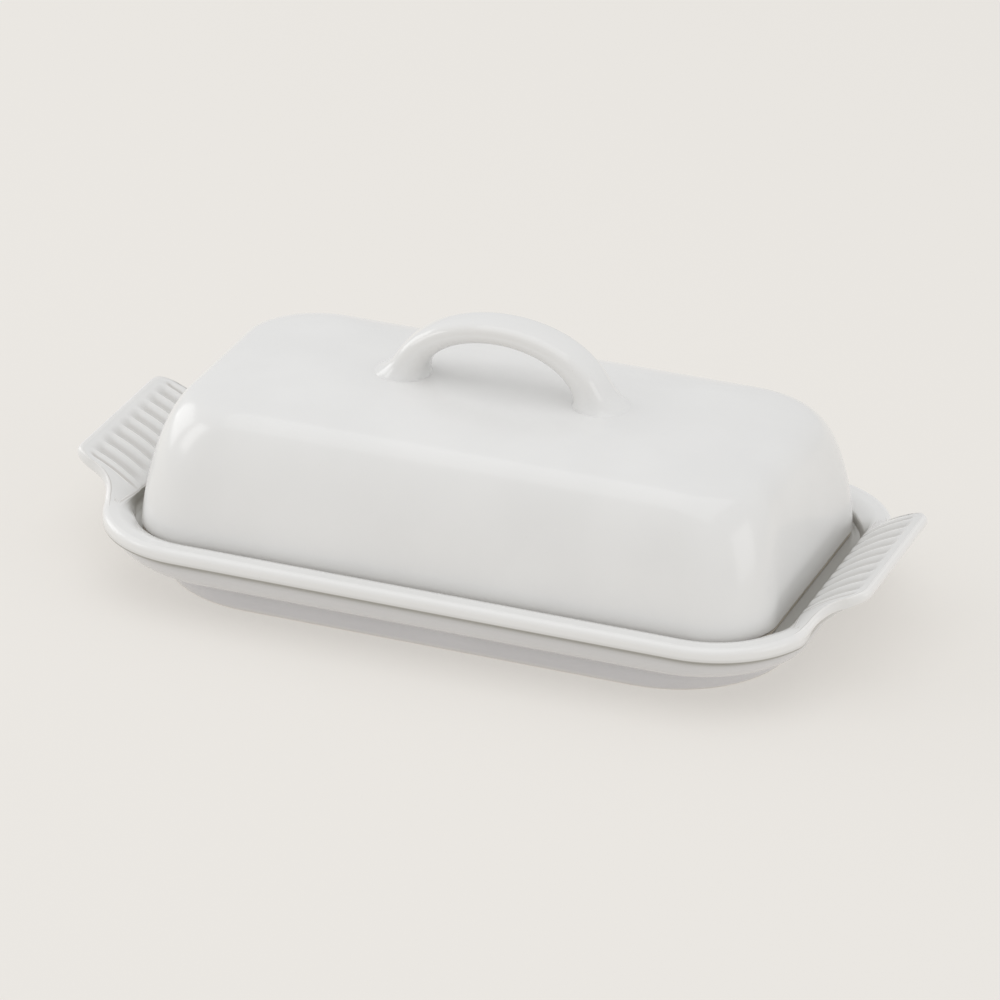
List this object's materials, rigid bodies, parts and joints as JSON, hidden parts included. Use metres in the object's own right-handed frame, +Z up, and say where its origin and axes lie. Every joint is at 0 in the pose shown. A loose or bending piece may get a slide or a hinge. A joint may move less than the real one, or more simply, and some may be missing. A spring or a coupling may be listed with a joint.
{
  "type": "covered butter dish",
  "caption": "Shallow footed stoneware dish with fluted ears at both ends, and a loaf-shaped cover with a loop handle that keeps butter under it.",
  "frame": {"origin": "on the table, under the middle of the dish", "axes": "+X from ear to ear, along the length; +Y from front to back; +Z up, the way the cover lifts off"},
  "size_m": [0.2144, 0.112, 0.0729],
  "materials": {
    "white_glaze": "satin white glaze on the dish",
    "foot_glaze": "thinner white glaze on the foot, with a bare standing face",
    "ear_glaze": "white glaze, thin on the ridges and pooled in the flutes",
    "cover_glaze": "smooth satin white glaze",
    "handle_glaze": "satin white glaze, a little thin along the edges",
    "bare_stoneware": "unglazed, matt and slightly sandy"
  },
  "bodies": {
    "dish": {"dish_tray": "white_glaze", "foot_ring": "foot_glaze", "ear_left": "ear_glaze", "ear_right": "ear_glaze"},
    "cover": {"cover_shell": "cover_glaze", "cover_edge": "bare_stoneware", "loop_handle": "handle_glaze"}
  },
  "joints": [
    {"name": "cover_lift", "type": "slide", "parent": "dish", "child": "cover", "axis": [0, 0, 1], "range_m": [0, 0.08]}
  ]
}
